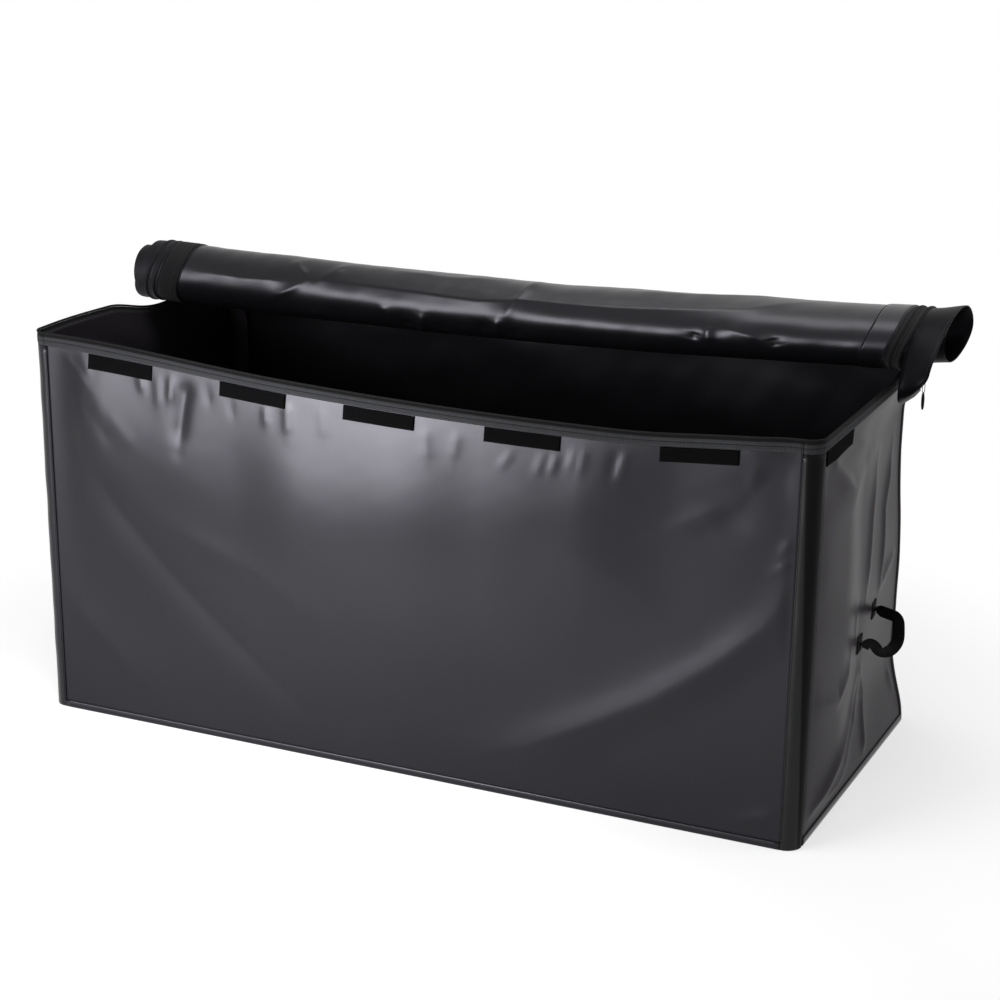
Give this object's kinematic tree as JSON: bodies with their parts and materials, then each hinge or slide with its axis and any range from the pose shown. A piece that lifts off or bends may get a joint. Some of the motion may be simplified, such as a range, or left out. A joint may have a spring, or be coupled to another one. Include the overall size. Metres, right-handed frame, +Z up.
{
  "type": "hitch cargo carrier bag",
  "caption": "Black coated-fabric box bag for a hitch cargo rack, standing open with its zip lid rolled to the back edge, loop strips under the rim and webbing end handles.",
  "frame": {"origin": "middle of the underside, on the surface that the bag stands on", "axes": "+X along the front to the right, +Y from the front to the back, +Z up"},
  "size_m": [1.2719, 0.5393, 0.6535],
  "materials": {
    "pvc_panel": "satin black PVC-coated fabric",
    "pvc_seam": "satin black PVC binding",
    "zip_tape": "woven black zip tape and coil",
    "hook_and_loop": "matt black hook and loop",
    "webbing": "black woven webbing",
    "slider_metal": "black enamelled zinc",
    "moulded_pull": "moulded black plastic"
  },
  "bodies": {
    "bag": {"bottom_panel": "pvc_panel", "front_panel": "pvc_panel", "back_panel": "pvc_panel", "left_end_panel": "pvc_panel", "right_end_panel": "pvc_panel", "corner_seam_front_left": "pvc_seam", "corner_seam_front_right": "pvc_seam", "corner_seam_back_left": "pvc_seam", "corner_seam_back_right": "pvc_seam", "base_binding_front": "pvc_seam", "base_binding_back": "pvc_seam", "base_binding_left": "pvc_seam", "base_binding_right": "pvc_seam", "rim_tape_front": "zip_tape", "rim_tape_left": "zip_tape", "rim_tape_right": "zip_tape", "rim_tape_corner_left": "zip_tape", "rim_tape_corner_right": "zip_tape", "back_hem": "pvc_seam", "rim_zip_coil": "zip_tape", "zip_stop_left": "moulded_pull", "zip_stop_right": "moulded_pull", "loop_strip_front_1": "hook_and_loop", "loop_strip_front_2": "hook_and_loop", "loop_strip_front_3": "hook_and_loop", "loop_strip_front_4": "hook_and_loop", "loop_strip_front_5": "hook_and_loop", "loop_strip_left": "hook_and_loop", "loop_strip_right": "hook_and_loop", "handle_patch_front_left": "webbing", "handle_patch_front_right": "webbing", "handle_patch_back_left": "webbing", "handle_patch_back_right": "webbing"},
    "lid": {"lid_sheet": "pvc_panel", "lid_skirt_front": "pvc_panel", "lid_skirt_left": "pvc_panel", "lid_skirt_right": "pvc_panel", "lid_seam_band_left": "pvc_seam", "lid_seam_band_right": "pvc_seam", "lid_zip_tape_front": "zip_tape", "lid_zip_tape_left": "zip_tape", "lid_zip_tape_right": "zip_tape", "lid_zip_coil_left": "zip_tape", "lid_zip_coil_right": "zip_tape", "hook_strip_front_1": "hook_and_loop", "hook_strip_front_2": "hook_and_loop", "hook_strip_front_3": "hook_and_loop", "hook_strip_front_4": "hook_and_loop", "hook_strip_front_5": "hook_and_loop"},
    "zip_slider": {"zip_slider": "slider_metal"},
    "zip_pull": {"zip_pull_loop": "webbing", "zip_pull_tip": "moulded_pull"},
    "handle_right": {"handle_right": "webbing"},
    "handle_left": {"handle_left": "webbing"}
  },
  "joints": [
    {"name": "lid_hinge", "type": "hinge", "parent": "bag", "child": "lid", "pos_m": [0, 0.2585, 0.564], "axis": [-1, 0, 0], "range_deg": [0, 180]},
    {"name": "slider_slide", "type": "slide", "parent": "bag", "child": "zip_slider", "axis": [0, -1, 0], "range_m": [0, 0.4]},
    {"name": "pull_swing", "type": "hinge", "parent": "zip_slider", "child": "zip_pull", "pos_m": [0.58927, 0.195, 0.5601], "axis": [1, 0, 0], "range_deg": [-60, 60]},
    {"name": "handle_right_swing", "type": "hinge", "parent": "bag", "child": "handle_right", "pos_m": [0.57502, 0.0435, 0.213], "axis": [0.0663, -0.9645, -0.2556], "range_deg": [-30, 30]},
    {"name": "handle_left_swing", "type": "hinge", "parent": "bag", "child": "handle_left", "pos_m": [-0.57502, 0.0435, 0.21069], "axis": [0.0668, 0.971, 0.2294], "range_deg": [-30, 30]}
  ]
}
